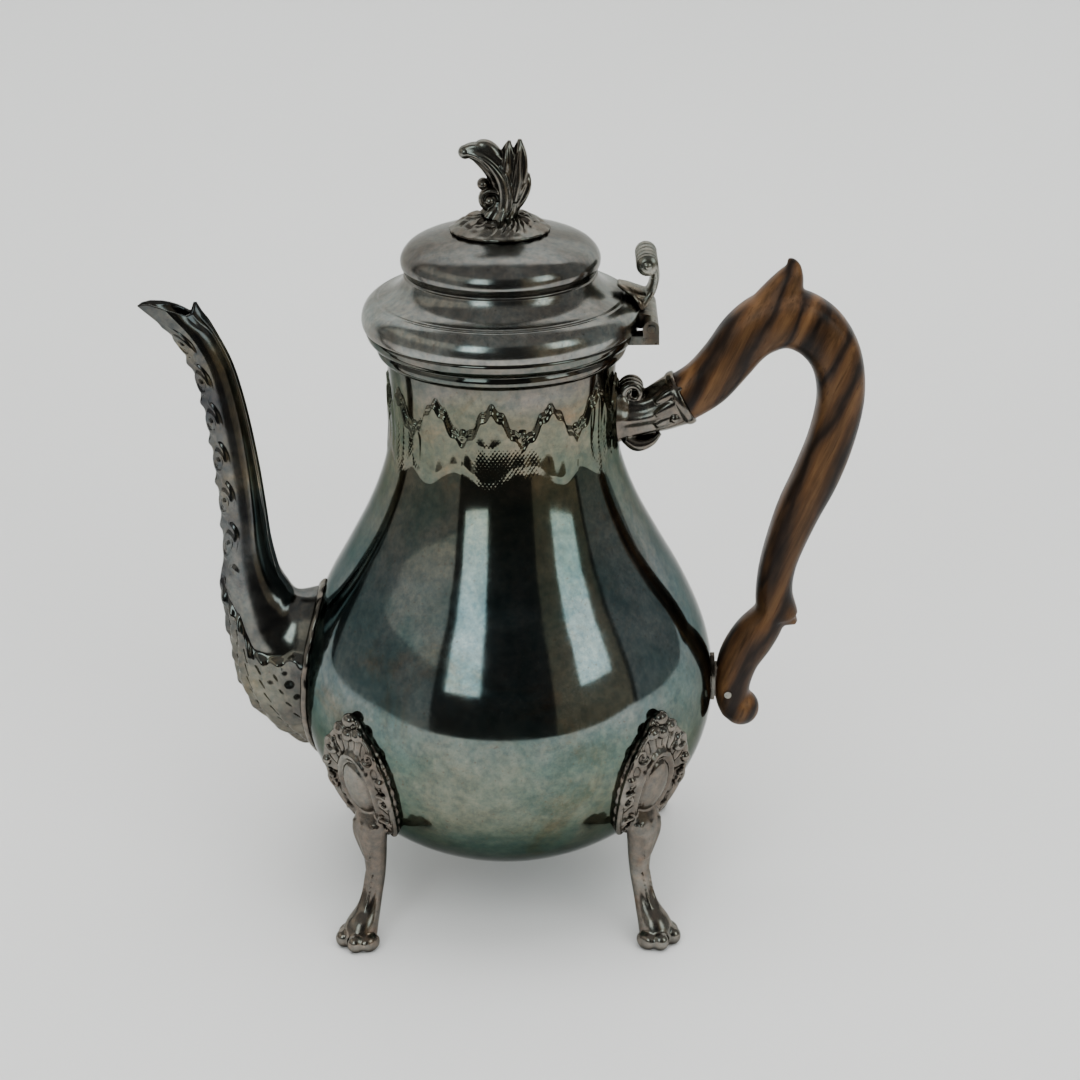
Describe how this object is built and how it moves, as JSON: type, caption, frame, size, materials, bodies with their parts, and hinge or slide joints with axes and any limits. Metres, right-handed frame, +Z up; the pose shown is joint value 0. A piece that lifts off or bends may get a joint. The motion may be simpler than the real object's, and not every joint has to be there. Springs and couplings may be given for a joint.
{
  "type": "coffee pot",
  "caption": "Footed silver coffee pot with hinged domed lid, swan-neck spout and carved wooden scroll handle.",
  "frame": {"origin": "on the body's vertical axis at table height, under the middle of the pot", "axes": "+Z up, +X from spout to handle, -Y towards a viewer who sees the handle on the right"},
  "size_m": [0.2371, 0.1396, 0.2627],
  "materials": {
    "silver": "tarnished silver, cloudy polish",
    "dark_silver": "heavily tarnished cast silver",
    "rosewood": "dark oiled hardwood, satin"
  },
  "bodies": {
    "pot": {"body_shell": "silver", "mouth_rim": "silver", "spout": "dark_silver", "spout_collar": "silver", "foot_front_left": "silver", "foot_front_right": "silver", "foot_rear_left": "silver", "foot_rear_right": "silver", "upper_handle_socket": "silver", "lower_handle_socket": "silver", "upper_handle_pin": "silver", "lower_handle_pin": "silver", "handle": "rosewood", "hinge_body_leaf": "silver", "hinge_pin": "silver"},
    "lid": {"lid_shell": "silver", "lid_bezel": "silver", "hinge_lid_leaf": "silver", "thumbpiece": "silver", "finial_plate": "silver", "finial": "silver", "finial_nut": "silver"}
  },
  "joints": [
    {"name": "lid_hinge", "type": "hinge", "parent": "pot", "child": "lid", "pos_m": [0.0481, 0, 0.2039], "axis": [0, 1, 0], "range_deg": [0, 100]}
  ]
}
